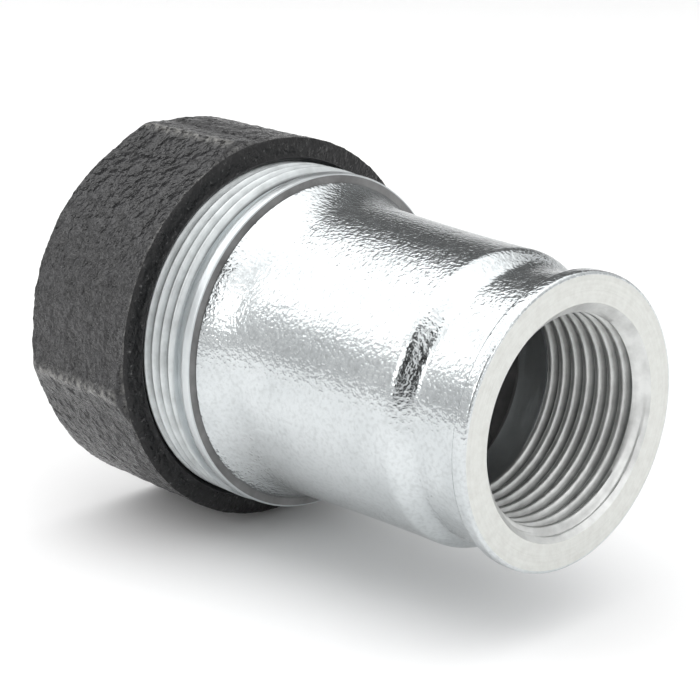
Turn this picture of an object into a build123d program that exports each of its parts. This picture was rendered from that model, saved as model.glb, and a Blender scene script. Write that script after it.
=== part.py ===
from build123d import *
from math import ceil, cos, floor, radians, tan
import os

# Compression coupling for plain steel pipe, nominal 1 inch.
# The axis of the fitting is X. The origin is the middle of the female end's face, the nut is on the
# -X side, and Z is up. Sizes are millimetres, and a depth is measured back from that face.

# ---------------------------------------------------------------- pipe and female pipe thread
PIPE_R = 33.7 / 2
PIPE_CLEARANCE = 0.5
FEMALE_PITCH = 25.4 / 11
FEMALE_UNDER_PIPE = 0.225
FEMALE_DEPTH = 1.185
FEMALE_TURNS = 7
FEMALE_FLANK_ANGLE = 27.5
FEMALE_ROOT_FLAT = 0.38
STOP_LAND = 6.0
MOUTH_CHAMFER = 1.8

# ---------------------------------------------------------------- outside of the body
NECK_WALL = 3.575
NECK_LENGTH = 8.2
FLANGE_HEIGHT = 1.5
FLANGE_THICKNESS = 2.45
FLANGE_EDGE = 0.5
SHOULDER_LENGTH = 4.0
WAIST_LENGTH = 28.8
WAIST_RISE = 0.9
FLARE_LENGTH = 8.0
FLARE_RISE = 2.2
COLLAR_LENGTH = 2.0
COLLAR_STEP = 0.25

# ---------------------------------------------------------------- male thread
MALE_OVER_PIPE = 10.15
MALE_PITCH = 2.0
MALE_THREAD_LENGTH = 17.1
MALE_DEPTH_SHARE = 0.6134
MALE_ROOT_FLAT = 0.3
MALE_FLANK_ANGLE = 30.0
RELIEF_LENGTH = 2.0
RELIEF_UNDERCUT = 0.15

# ---------------------------------------------------------------- inside of the body
CORE_CLEARANCE = 1.45
CORE_WALL = 3.9
GUIDE_LENGTH = 4.0
SEAT_LENGTH = 8.0
SEAT_THROAT_STEP = 1.3
SEAT_MOUTH_WALL = 3.2

# ---------------------------------------------------------------- nut
NUT_WALL = 3.85
NUT_GAP_TO_COLLAR = 8.0
NUT_REAR_WALL = 3.0
NUT_BORE_CLEARANCE = 0.75
NUT_TRAVEL_ALLOWANCE = 3.4
NUT_MOUTH_LEAD = 0.5
NUT_FRONT_ROUND = 3.0
NUT_REAR_ROUND = 3.6
NUT_BORE_CHAMFER = 0.8
RIB_HEIGHT = 1.5
RIB_WIDTH = 7.5
RIB_BLEND = 4.0
RIB_HALF_ANGLE = 41.75
RIB_PLANE_ANGLE = 56.75
THREAD_RADIAL_CLEARANCE = 0.15
THREAD_FLANK_CLEARANCE = 0.1

# ---------------------------------------------------------------- gasket, pressure ring, clamp ring
GASKET_PROTRUSION = 3.0
GASKET_BORE_CLEARANCE = 0.3
GASKET_EDGE = 0.8
GASKET_GAP = 0.1
WASHER_THICKNESS = 1.8
WASHER_OVERHANG = 0.9
WASHER_EDGE = 0.3
RING_LENGTH = 8.0
RING_REAR_WALL = 2.0
RING_HALF_ANGLE = 23.0
RING_SLOT = 4.0
RING_BORE_CLEARANCE = 0.35
TOOTH_COUNT = 4
TOOTH_DEPTH = 0.7
TOOTH_SLOPE_SHARE = 0.8
TOOTH_CREST_SHARE = 0.1
MOVING_CLEARANCE = 0.2

# How far a cutter reaches past the surface that it opens.
OVERCUT = 0.1

# ---------------------------------------------------------------- places that follow from the sizes
FEMALE_MAJOR_R = PIPE_R - FEMALE_UNDER_PIPE
FEMALE_MINOR_R = FEMALE_MAJOR_R - FEMALE_DEPTH
MOUTH_R = FEMALE_MINOR_R + MOUTH_CHAMFER
NECK_R = FEMALE_MAJOR_R + NECK_WALL
FLANGE_R = NECK_R + FLANGE_HEIGHT
PIPE_BORE_R = PIPE_R + PIPE_CLEARANCE
CORE_R = PIPE_R + CORE_CLEARANCE
SHOULDER_R = CORE_R + CORE_WALL
MALE_R = PIPE_R + MALE_OVER_PIPE
PIPE_STOP = -(FEMALE_TURNS * FEMALE_PITCH + MOUTH_CHAMFER + STOP_LAND)
SHOULDER_FRONT = -(FLANGE_THICKNESS + NECK_LENGTH)
SHOULDER_BACK = SHOULDER_FRONT - SHOULDER_LENGTH
WAIST_BACK = SHOULDER_BACK - WAIST_LENGTH
WAIST_R = SHOULDER_R + WAIST_RISE
COLLAR_FRONT = WAIST_BACK - FLARE_LENGTH
COLLAR_R = MALE_R - COLLAR_STEP
THREAD_FRONT = COLLAR_FRONT - COLLAR_LENGTH
BODY_END = THREAD_FRONT - MALE_THREAD_LENGTH
MALE_ROOT_R = MALE_R - MALE_DEPTH_SHARE * MALE_PITCH
MALE_GROOVE_FRONT = THREAD_FRONT - RELIEF_LENGTH / 2
SEAT_THROAT = BODY_END + SEAT_LENGTH
SEAT_THROAT_R = PIPE_BORE_R + SEAT_THROAT_STEP
SEAT_MOUTH_R = MALE_ROOT_R - SEAT_MOUTH_WALL

GASKET_REAR = BODY_END - GASKET_PROTRUSION
WASHER_FRONT = GASKET_REAR - GASKET_GAP
WASHER_R = SEAT_MOUTH_R + WASHER_OVERHANG
RING_FRONT = WASHER_FRONT - WASHER_THICKNESS
RING_REAR = RING_FRONT - RING_LENGTH
RING_BORE_R = PIPE_R + RING_BORE_CLEARANCE
RING_SLOPE = tan(radians(RING_HALF_ANGLE))
RING_REAR_R = RING_BORE_R + TOOTH_DEPTH + RING_REAR_WALL
RING_FRONT_R = RING_REAR_R + RING_LENGTH * RING_SLOPE

NUT_CREST_R = MALE_ROOT_R + THREAD_RADIAL_CLEARANCE
NUT_ROOT_R = MALE_R + THREAD_RADIAL_CLEARANCE
NUT_R = NUT_ROOT_R + NUT_WALL
NUT_FRONT = THREAD_FRONT - NUT_GAP_TO_COLLAR
NUT_SHOULDER = BODY_END - NUT_TRAVEL_ALLOWANCE
NUT_CONE_REAR = RING_REAR - MOVING_CLEARANCE
NUT_REAR = NUT_CONE_REAR - NUT_REAR_WALL
NUT_BORE_R = PIPE_R + NUT_BORE_CLEARANCE


def turned(points):
    """A solid turned about X from its outline, given as (x, radius) points."""
    return revolve(make_face(Polyline(*points, close=True)), Axis.X)


def cut_thread(blank, inner_r, outer_r, inner_width, outer_width, pitch, front, turns):
    """Cut a right-handed thread groove, turn by turn. It is centred on x = front below the axis, and
    runs back from there by whole turns."""
    path = Helix(pitch=pitch, height=pitch, radius=(inner_r + outer_r) / 2)
    half_depth = (outer_r - inner_r) / 2
    section = Polyline(
        (-half_depth, -inner_width / 2),
        (half_depth, -outer_width / 2),
        (half_depth, outer_width / 2),
        (-half_depth, inner_width / 2),
        close=True,
    )
    plane = Plane(origin=path @ 0, x_dir=(1, 0, 0), z_dir=path % 0)
    turn = Rot(0, 90, 0) * sweep(plane * make_face(section), path=path, is_frenet=True)
    for k in range(turns):
        blank -= Pos(front - (k + 1) * pitch, 0, 0) * turn
    return blank


def male_groove_width(radius):
    """Width of the male thread's groove at a radius."""
    return MALE_ROOT_FLAT + 2 * (radius - MALE_ROOT_R) * tan(radians(MALE_FLANK_ANGLE))


def nut_groove_width(radius):
    """Width of the nut's groove at a radius: the male ridge there, with clearance on both flanks."""
    return MALE_PITCH - male_groove_width(radius) + 2 * THREAD_FLANK_CLEARANCE


def body_casting():
    """The solid outside of the body: flange, neck, shoulder, waist, flare, collar and thread blank."""
    end_chamfer = MALE_R - MALE_ROOT_R
    relief_r = MALE_ROOT_R - RELIEF_UNDERCUT
    relief_slope = (COLLAR_R - relief_r) * tan(radians(MALE_FLANK_ANGLE))
    flange = Polyline(
        (0, 0),
        (0, FLANGE_R - FLANGE_EDGE),
        (-FLANGE_EDGE, FLANGE_R),
        (-(FLANGE_THICKNESS - FLANGE_EDGE), FLANGE_R),
        (-FLANGE_THICKNESS, FLANGE_R - FLANGE_EDGE),
        (-FLANGE_THICKNESS, NECK_R),
        (SHOULDER_FRONT, NECK_R),
    )
    shoulder = Spline(
        (SHOULDER_FRONT, NECK_R),
        (SHOULDER_BACK, SHOULDER_R),
        tangents=((-1, 0), (-1, 0)),
    )
    waist_tangent = (-WAIST_LENGTH, 2 * WAIST_RISE)
    waist = Spline(
        (SHOULDER_BACK, SHOULDER_R),
        (WAIST_BACK, WAIST_R),
        tangents=((-1, 0), waist_tangent),
    )
    flare = Spline(
        (WAIST_BACK, WAIST_R),
        (COLLAR_FRONT, WAIST_R + FLARE_RISE),
        tangents=(waist_tangent, (-1, 1)),
    )
    thread_blank = Polyline(
        (COLLAR_FRONT, WAIST_R + FLARE_RISE),
        (COLLAR_FRONT, COLLAR_R),
        (THREAD_FRONT, COLLAR_R),
        (THREAD_FRONT - relief_slope, relief_r),
        (THREAD_FRONT - RELIEF_LENGTH + relief_slope, relief_r),
        (THREAD_FRONT - RELIEF_LENGTH, MALE_R),
        (BODY_END + end_chamfer, MALE_R),
        (BODY_END, MALE_ROOT_R),
        (BODY_END, 0),
        (0, 0),
    )
    return revolve(make_face(flange + shoulder + waist + flare + thread_blank), Axis.X)


def body_passage():
    """The way through the body: mouth, thread bore, pipe stop, cored chamber, guide and gasket seat."""
    stop_slope = CORE_R - FEMALE_MINOR_R
    guide_front = SEAT_THROAT + GUIDE_LENGTH
    return turned([
        (0, 0),
        (0, MOUTH_R),
        (-MOUTH_CHAMFER, FEMALE_MINOR_R),
        (PIPE_STOP, FEMALE_MINOR_R),
        (PIPE_STOP - stop_slope, CORE_R),
        (guide_front, CORE_R),
        (guide_front, PIPE_BORE_R),
        (SEAT_THROAT, PIPE_BORE_R),
        (SEAT_THROAT, SEAT_THROAT_R),
        (BODY_END, SEAT_MOUTH_R),
        (BODY_END, 0),
    ])


def make_fitting_body():
    """The galvanised casting with its female pipe thread and its male thread."""
    female_slope = 2 * tan(radians(FEMALE_FLANK_ANGLE))
    female_inner_r = FEMALE_MINOR_R - OVERCUT
    male_outer_r = MALE_R + OVERCUT
    body = cut_thread(
        body_casting() - body_passage(),
        female_inner_r,
        FEMALE_MAJOR_R,
        FEMALE_ROOT_FLAT + (FEMALE_MAJOR_R - female_inner_r) * female_slope,
        FEMALE_ROOT_FLAT,
        FEMALE_PITCH,
        FEMALE_PITCH / 2,
        FEMALE_TURNS + 1,
    )
    return cut_thread(
        body,
        MALE_ROOT_R,
        male_outer_r,
        MALE_ROOT_FLAT,
        male_groove_width(male_outer_r),
        MALE_PITCH,
        MALE_GROOVE_FRONT,
        ceil((MALE_THREAD_LENGTH + MALE_PITCH) / MALE_PITCH),
    )


def nut_section():
    """Cross-section of the nut's outside: a circle with four low ribs, blended in. The ribs lie in
    two opposite pairs about the plane where the mould parts."""
    bump_r = ((RIB_WIDTH / 2) ** 2 + RIB_HEIGHT**2) / (2 * RIB_HEIGHT)
    section = Circle(NUT_R)
    for plane_angle in (RIB_PLANE_ANGLE, RIB_PLANE_ANGLE + 180):
        for side in (-1, 1):
            angle = plane_angle + side * RIB_HALF_ANGLE
            section += Rot(0, 0, angle) * Pos(NUT_R + RIB_HEIGHT - bump_r, 0) * Circle(bump_r)
    return fillet(section.vertices(), RIB_BLEND)


def nut_envelope():
    """The turned shape that rounds off both ends of the nut over its ribs."""
    rib_r = NUT_R + RIB_HEIGHT
    front_arc = CenterArc(
        (NUT_FRONT - NUT_FRONT_ROUND, rib_r - NUT_FRONT_ROUND), NUT_FRONT_ROUND, 0, 90
    )
    rear_arc = CenterArc((NUT_REAR + NUT_REAR_ROUND, rib_r - NUT_REAR_ROUND), NUT_REAR_ROUND, 90, 90)
    outline = (
        Line((NUT_FRONT, 0), front_arc @ 0)
        + front_arc
        + Line(front_arc @ 1, rear_arc @ 0)
        + rear_arc
        + Line(rear_arc @ 1, (NUT_REAR, 0))
        + Line((NUT_REAR, 0), (NUT_FRONT, 0))
    )
    return revolve(make_face(outline), Axis.X)


def make_compression_nut():
    """The black union nut: ribbed outside, thread, relief, pocket, cone and pipe bore inside. Its
    grooves lie on the male ridges, half a pitch from the male grooves, and start before its mouth."""
    first_turn = ceil((NUT_FRONT - MALE_GROOVE_FRONT) / MALE_PITCH + 1.5) - 0.5
    groove_front = MALE_GROOVE_FRONT + first_turn * MALE_PITCH
    turns = floor((groove_front - NUT_SHOULDER) / MALE_PITCH - 0.5)
    relief_front = groove_front - turns * MALE_PITCH + MALE_PITCH / 2
    mouth_r = NUT_ROOT_R + NUT_MOUTH_LEAD
    relief_r = NUT_ROOT_R + RELIEF_UNDERCUT
    pocket_r = WASHER_R + 2 * MOVING_CLEARANCE
    cone_front = RING_FRONT - MOVING_CLEARANCE
    cone_offset = MOVING_CLEARANCE / cos(radians(RING_HALF_ANGLE))
    hollow = turned([
        (NUT_FRONT, 0),
        (NUT_FRONT, mouth_r),
        (NUT_FRONT - (mouth_r - NUT_CREST_R), NUT_CREST_R),
        (relief_front, NUT_CREST_R),
        (relief_front, relief_r),
        (NUT_SHOULDER, relief_r),
        (NUT_SHOULDER, pocket_r),
        (cone_front, pocket_r),
        (cone_front, RING_FRONT_R - MOVING_CLEARANCE * RING_SLOPE + cone_offset),
        (NUT_CONE_REAR, RING_REAR_R - MOVING_CLEARANCE * RING_SLOPE + cone_offset),
        (NUT_CONE_REAR, NUT_BORE_R),
        (NUT_REAR + NUT_BORE_CHAMFER, NUT_BORE_R),
        (NUT_REAR, NUT_BORE_R + NUT_BORE_CHAMFER),
        (NUT_REAR, 0),
    ])
    section_plane = Plane(origin=(NUT_REAR, 0, 0), x_dir=(0, 0, 1), z_dir=(1, 0, 0))
    blank = extrude(section_plane * nut_section(), amount=NUT_FRONT - NUT_REAR)
    inner_r = NUT_CREST_R - OVERCUT
    return cut_thread(
        (blank & nut_envelope()) - hollow,
        inner_r,
        NUT_ROOT_R,
        nut_groove_width(inner_r),
        nut_groove_width(NUT_ROOT_R),
        MALE_PITCH,
        groove_front,
        turns,
    )


def make_gasket():
    """The rubber wedge ring. It fills the conical seat and stands proud of the body's end."""
    bore_r = PIPE_R + GASKET_BORE_CLEARANCE
    return turned([
        (SEAT_THROAT, bore_r),
        (SEAT_THROAT, SEAT_THROAT_R),
        (BODY_END, SEAT_MOUTH_R),
        (GASKET_REAR + GASKET_EDGE, SEAT_MOUTH_R),
        (GASKET_REAR, SEAT_MOUTH_R - GASKET_EDGE),
        (GASKET_REAR, bore_r),
    ])


def make_pressure_ring():
    """The flat steel ring between the gasket and the clamp ring."""
    return turned([
        (WASHER_FRONT, PIPE_BORE_R),
        (WASHER_FRONT, WASHER_R - WASHER_EDGE),
        (WASHER_FRONT - WASHER_EDGE, WASHER_R),
        (RING_FRONT + WASHER_EDGE, WASHER_R),
        (RING_FRONT, WASHER_R - WASHER_EDGE),
        (RING_FRONT, PIPE_BORE_R),
    ])


def make_clamp_ring():
    """The split ring: conical outside, sawtooth grip inside, and one slot so that it can close."""
    tooth_pitch = RING_LENGTH / TOOTH_COUNT
    teeth = []
    for k in range(TOOTH_COUNT):
        tooth_rear = RING_REAR + k * tooth_pitch
        crest_rear = tooth_rear + TOOTH_SLOPE_SHARE * tooth_pitch
        crest_front = crest_rear + TOOTH_CREST_SHARE * tooth_pitch
        teeth.append((tooth_rear, RING_BORE_R + TOOTH_DEPTH))
        teeth.append((crest_rear, RING_BORE_R))
        teeth.append((crest_front, RING_BORE_R))
    outline = teeth + [
        (RING_FRONT, RING_BORE_R + TOOTH_DEPTH),
        (RING_FRONT, RING_FRONT_R),
        (RING_REAR, RING_REAR_R),
    ]
    slot = Pos((RING_FRONT + RING_REAR) / 2, 0, RING_FRONT_R) * Box(
        2 * RING_LENGTH, RING_SLOT, 2 * RING_FRONT_R
    )
    return turned(outline) - slot


PARTS = {
    "fitting_body": make_fitting_body,
    "compression_nut": make_compression_nut,
    "gasket": make_gasket,
    "pressure_ring": make_pressure_ring,
    "clamp_ring": make_clamp_ring,
}

os.makedirs("parts", exist_ok=True)
for name, make in PARTS.items():
    export_step(make(), f"parts/{name}.step")
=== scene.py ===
import bpy
from math import ceil, cos, hypot, pi, radians, sin, tan
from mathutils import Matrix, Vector


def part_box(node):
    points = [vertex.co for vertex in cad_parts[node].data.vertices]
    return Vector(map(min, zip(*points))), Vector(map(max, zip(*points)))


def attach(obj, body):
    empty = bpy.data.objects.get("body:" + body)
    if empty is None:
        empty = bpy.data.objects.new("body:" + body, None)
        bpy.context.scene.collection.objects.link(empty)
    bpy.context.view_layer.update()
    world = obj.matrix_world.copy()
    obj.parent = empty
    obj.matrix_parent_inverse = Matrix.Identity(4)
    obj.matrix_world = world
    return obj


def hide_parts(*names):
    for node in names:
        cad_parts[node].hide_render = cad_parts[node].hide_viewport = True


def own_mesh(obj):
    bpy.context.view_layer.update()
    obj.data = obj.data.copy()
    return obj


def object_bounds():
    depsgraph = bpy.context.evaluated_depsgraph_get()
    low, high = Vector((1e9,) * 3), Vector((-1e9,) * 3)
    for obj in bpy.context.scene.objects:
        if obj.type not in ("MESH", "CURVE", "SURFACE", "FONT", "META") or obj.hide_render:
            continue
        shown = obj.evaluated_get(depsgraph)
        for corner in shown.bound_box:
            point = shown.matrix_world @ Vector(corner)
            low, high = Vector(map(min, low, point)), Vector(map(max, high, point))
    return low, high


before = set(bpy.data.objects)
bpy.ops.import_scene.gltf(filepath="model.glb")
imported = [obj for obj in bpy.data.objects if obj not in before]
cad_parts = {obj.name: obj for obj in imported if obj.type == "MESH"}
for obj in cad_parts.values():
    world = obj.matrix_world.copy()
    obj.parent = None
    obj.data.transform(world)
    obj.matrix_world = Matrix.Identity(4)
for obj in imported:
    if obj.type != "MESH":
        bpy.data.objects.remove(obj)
CAD_BOX = [list(corner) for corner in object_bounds()]

bl_info = {
    "name": "Compression coupling",
    "version": (1, 0, 0),
    "blender": (4, 5, 0),
    "location": "View3D > Sidebar > Coupling",
    "description": "Builds a galvanised pipe coupling with its black nut, and the studio round it",
    "category": "Object",
}

MM = 0.001
TINY = 1e-6  # points nearer than twice this are merged
SEAM = 1e-4  # angle left open by the spin, and closed by the merge
BODY_LOW, BODY_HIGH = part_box("fitting_body")
NUT_LOW, NUT_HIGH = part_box("compression_nut")

# mesh fineness
STEPS_ROUND_BODY = 260
STEPS_ROUND_NUT = 360
STEPS_ROUND_GASKET = 180
CAST_GRID = 0.42 * MM
FACE_GRID = 0.6 * MM
FOOT_GRID = 0.35 * MM
CORE_GRID = 0.9 * MM
BORE_GRID = 1 * MM
NUT_GRID = 0.36 * MM
NUT_FACE_GRID = 0.4 * MM
NUT_REAR_GRID = 0.5 * MM
GASKET_GRID = 0.8 * MM
SMOOTH_ANGLE = 38

# threads
MALE_FLANK = tan(radians(30))
MALE_ROOT_FLAT = 0.3 * MM
MALE_EASE = 0.07 * MM
NUT_EASE = 0.06 * MM
THREAD_PLAY = 0.2 * MM
FEMALE_FLANK = tan(radians(27.5))
FEMALE_ROOT_FLAT = 0.38 * MM
FEMALE_EASE = 0.08 * MM
FEMALE_TURNS = 7
RELIEF_LENGTH = 2 * MM
RELIEF_UNDERCUT = 0.15 * MM

# the body's mouth, rim, flare and inside
MOUTH_CHAMFER = 1.8 * MM
RIM_EDGE = 0.5 * MM
RIM_FOOT = 0.8 * MM
FLARE_SLOPE = 0.55
STOP_LENGTH = 6 * MM
CORE_WALL = 3.9 * MM
GUIDE_R = 17.35 * MM
GUIDE_LENGTH = 4 * MM
SEAT_LENGTH = 8 * MM
SEAT_WALL = 3.2 * MM
SEAT_STEP = 1.3 * MM

# the nut's inside and ribs
NUT_LEAD = 0.5 * MM
NUT_CHAMFER = 0.8 * MM
NUT_FLOOR = 3 * MM
POCKET_DEPTH = 3.4 * MM
POCKET_CLEARANCE = 1.3 * MM
RING_LENGTH = 8 * MM
RING_REAR_R = 19.9 * MM
RING_SLOPE = radians(23)
RING_GAP = 0.2 * MM
OUTSIDE_MARGIN = 2 * MM  # beyond the thread's root by this much is the ribbed outside
RIBS = [radians(middle + side * 41.75) for middle in (56.75, 236.75) for side in (-1, 1)]
RIDGE_ROUND = 0.3 * MM
RIDGE_CALM = 1.8 * MM
RIDGE_SMOOTHING = 0.85

# the size of the patterns in the cast skins
CAST_PATTERN = 1.6 * MM
NUT_PATTERN = 2.4 * MM
NUT_FINE_PATTERN = 1.0 * MM
NUT_FINE_SHARE = 0.7

# the gasket
GASKET_BORE_R = 17.15 * MM
GASKET_OUT = 3 * MM
GASKET_EDGE = 0.8 * MM
GASKET_LIP = 0.2 * MM
GASKET_EASE = 0.02 * MM

# the stage
AIM = Vector((-0.04, 0, 0))
FLOOR_GAP = 0.2 * MM
FLOOR_SIZE = 60
SKY_STRENGTH = 2.1
CAMERA_PLACE = (0.16967, -0.20043, 0.09442)
CAMERA_LENS = 102.86
CAMERA_AZIMUTH = 46.98
CAMERA_ELEVATION = 17.77
# name, place, size, power
LIGHTS = [
    ("top_softbox", (-0.95, 0.05, 0.85), (0.8, 0.6), 1.4),
    ("key_softbox", (-0.3, -1.1, 0.6), (0.5, 0.5), 1.7),
    ("end_softbox", (1.0, -0.1, 0.5), (0.5, 0.5), 1.2),
    ("side_softbox", (-0.81, -0.5, 0.61), (0.4, 0.4), 0.9),
]
# name, place, size, shade
CARDS = [
    ("back_card", (-0.8, 0.58, 0.53), (1.7, 0.64), 0.12),
    ("front_card", (0.28, -0.76, 0.5), (0.34, 0.85), 0.002),
]


# ---------------------------------------------------------------- sizes
class BodySizes(bpy.types.PropertyGroup):
    """Sizes of the galvanised body. A depth is measured back from the face of the female end."""

    length: bpy.props.FloatProperty(
        name="Length", description="Face to end of the male thread",
        default=BODY_HIGH[0] - BODY_LOW[0], unit="LENGTH")
    flange_r: bpy.props.FloatProperty(
        name="Flange radius", description="Outside of the rim", default=21.7 * MM, unit="LENGTH")
    flange_thickness: bpy.props.FloatProperty(
        name="Flange thickness", description="Rim, face to back", default=2.45 * MM, unit="LENGTH")
    neck_r: bpy.props.FloatProperty(
        name="Neck radius", description="Outside behind the rim", default=20.2 * MM, unit="LENGTH")
    shoulder_front: bpy.props.FloatProperty(
        name="Shoulder front", description="Where the neck starts to swell",
        default=10.65 * MM, unit="LENGTH")
    shoulder_back: bpy.props.FloatProperty(
        name="Shoulder back", description="Where the shoulder is full",
        default=14.65 * MM, unit="LENGTH")
    shoulder_r: bpy.props.FloatProperty(
        name="Shoulder radius", description="Outside at the shoulder", default=22.2 * MM, unit="LENGTH")
    waist_back: bpy.props.FloatProperty(
        name="Waist back", description="Where the flare starts", default=43.45 * MM, unit="LENGTH")
    waist_r: bpy.props.FloatProperty(
        name="Waist radius", description="Outside where the flare starts",
        default=23.1 * MM, unit="LENGTH")
    collar_front: bpy.props.FloatProperty(
        name="Collar front", description="Where the flare meets the collar",
        default=51.45 * MM, unit="LENGTH")
    flare_r: bpy.props.FloatProperty(
        name="Flare radius", description="Outside where the flare ends",
        default=25.3 * MM, unit="LENGTH")
    collar_r: bpy.props.FloatProperty(
        name="Collar radius", description="Plain band before the thread",
        default=26.75 * MM, unit="LENGTH")
    thread_front: bpy.props.FloatProperty(
        name="Thread front", description="Where the collar ends", default=53.45 * MM, unit="LENGTH")
    male_r: bpy.props.FloatProperty(
        name="Male thread radius", description="Over the crests", default=27.0 * MM, unit="LENGTH")
    male_root_r: bpy.props.FloatProperty(
        name="Male root radius", description="At the bottom of the groove",
        default=25.773 * MM, unit="LENGTH")
    male_pitch: bpy.props.FloatProperty(
        name="Male pitch", description="Crest to crest", default=2.0 * MM, unit="LENGTH")
    female_major_r: bpy.props.FloatProperty(
        name="Female root radius", description="At the bottom of the groove",
        default=16.625 * MM, unit="LENGTH")
    female_minor_r: bpy.props.FloatProperty(
        name="Female crest radius", description="Over the crests", default=15.44 * MM, unit="LENGTH")
    female_pitch: bpy.props.FloatProperty(
        name="Female pitch", description="Crest to crest", default=25.4 / 11 * MM, unit="LENGTH")
    grain: bpy.props.FloatProperty(
        name="Casting grain", description="Depth of the cast skin's unevenness",
        default=0.035 * MM, unit="LENGTH")


class NutSizes(bpy.types.PropertyGroup):
    """Sizes of the black nut."""

    front: bpy.props.FloatProperty(
        name="Front", description="Depth of the open end", default=-NUT_HIGH[0], unit="LENGTH")
    rear: bpy.props.FloatProperty(
        name="Rear", description="Depth of the closed end", default=-NUT_LOW[0], unit="LENGTH")
    outer_r: bpy.props.FloatProperty(
        name="Radius", description="Between the ribs", default=31.0 * MM, unit="LENGTH")
    rib_height: bpy.props.FloatProperty(
        name="Rib height", description="Above the round", default=1.5 * MM, unit="LENGTH")
    rib_width: bpy.props.FloatProperty(
        name="Rib width", description="At the foot of a rib", default=7.5 * MM, unit="LENGTH")
    rib_blend: bpy.props.FloatProperty(
        name="Rib blend", description="How far a rib's foot runs out on each side",
        default=1.6 * MM, unit="LENGTH")
    front_round: bpy.props.FloatProperty(
        name="Front rounding", description="Radius of the front edge", default=3.0 * MM, unit="LENGTH")
    rear_round: bpy.props.FloatProperty(
        name="Rear rounding", description="Radius of the rear edge", default=3.6 * MM, unit="LENGTH")
    crest_r: bpy.props.FloatProperty(
        name="Thread crest radius", description="Over the nut's own crests",
        default=25.923 * MM, unit="LENGTH")
    root_r: bpy.props.FloatProperty(
        name="Thread root radius", description="At the bottom of the groove",
        default=27.15 * MM, unit="LENGTH")
    bore_r: bpy.props.FloatProperty(
        name="Bore radius", description="Where the pipe goes in", default=17.6 * MM, unit="LENGTH")
    skin: bpy.props.FloatProperty(
        name="Cast skin", description="Depth of the wrinkled skin", default=0.3 * MM, unit="LENGTH")


class Finishes(bpy.types.PropertyGroup):
    """Colours of the finishes."""

    zinc: bpy.props.FloatVectorProperty(
        name="Zinc", description="Hot-dipped zinc", subtype="COLOR", size=3,
        default=(0.635, 0.665, 0.675))
    zinc_shade: bpy.props.FloatVectorProperty(
        name="Zinc shade", description="Duller patches of the zinc", subtype="COLOR", size=3,
        default=(0.565, 0.595, 0.605))
    black: bpy.props.FloatVectorProperty(
        name="Black coat", description="The nut's black coat", subtype="COLOR", size=3,
        default=(0.012, 0.012, 0.013))
    rubber: bpy.props.FloatVectorProperty(
        name="Rubber", description="The gasket", subtype="COLOR", size=3, default=(0.02, 0.02, 0.021))


# ---------------------------------------------------------------- materials
def new_material(name):
    """A material with nothing but a Principled shader, and its nodes, links and shader."""
    material = bpy.data.materials.new(name)
    material.use_nodes = True
    tree = material.node_tree
    shader = tree.nodes["Principled BSDF"]
    return material, tree.nodes, tree.links, shader


def object_noise(nodes, links, scale, detail=2.0, roughness=0.5, stretch=(1, 1, 1)):
    """A noise on Object coordinates. Scale is in patterns per metre, and stretch scales each axis."""
    coordinates = nodes.new("ShaderNodeTexCoord")
    mapping = nodes.new("ShaderNodeMapping")
    mapping.inputs["Scale"].default_value = stretch
    noise = nodes.new("ShaderNodeTexNoise")
    noise.inputs["Scale"].default_value = scale
    noise.inputs["Detail"].default_value = detail
    noise.inputs["Roughness"].default_value = roughness
    links.new(coordinates.outputs["Object"], mapping.inputs["Vector"])
    links.new(mapping.outputs["Vector"], noise.inputs["Vector"])
    return noise


def ramp(nodes, links, source, stops):
    """A colour ramp on a value. Stops are (place, colour) pairs."""
    node = nodes.new("ShaderNodeValToRGB")
    elements = node.color_ramp.elements
    while len(elements) < len(stops):
        elements.new(0.5)
    for element, (place, colour) in zip(elements, stops):
        element.position = place
        element.color = (*colour, 1)
    links.new(source, node.inputs["Fac"])
    return node


def grey(value):
    return (value, value, value)


def scaled(colour, share):
    return tuple(share * part for part in colour)


def multiplied(nodes, links, first, second):
    """One colour multiplied by another."""
    mix = nodes.new("ShaderNodeMix")
    mix.data_type = "RGBA"
    mix.blend_type = "MULTIPLY"
    mix.inputs["Factor"].default_value = 1.0
    links.new(first, mix.inputs["A"])
    links.new(second, mix.inputs["B"])
    return mix.outputs["Result"]


def maths(nodes, links, operation, first, second):
    node = nodes.new("ShaderNodeMath")
    node.operation = operation
    links.new(first, node.inputs[0])
    links.new(second, node.inputs[1])
    return node.outputs["Value"]


def rise(nodes, links, source, start, full, top=1.0):
    """A value that climbs from 0 to its top while the source goes from start to full."""
    node = nodes.new("ShaderNodeMapRange")
    node.inputs["From Min"].default_value = start
    node.inputs["From Max"].default_value = full
    node.inputs["To Max"].default_value = top
    links.new(source, node.inputs["Value"])
    return node.outputs["Result"]


def bump(nodes, links, height, distance, below=None):
    """A bump of a given depth, laid over another bump if one is given."""
    node = nodes.new("ShaderNodeBump")
    node.inputs["Distance"].default_value = distance
    node.inputs["Strength"].default_value = 1.0
    links.new(height, node.inputs["Height"])
    if below is not None:
        links.new(below.outputs["Normal"], node.inputs["Normal"])
    return node


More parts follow.
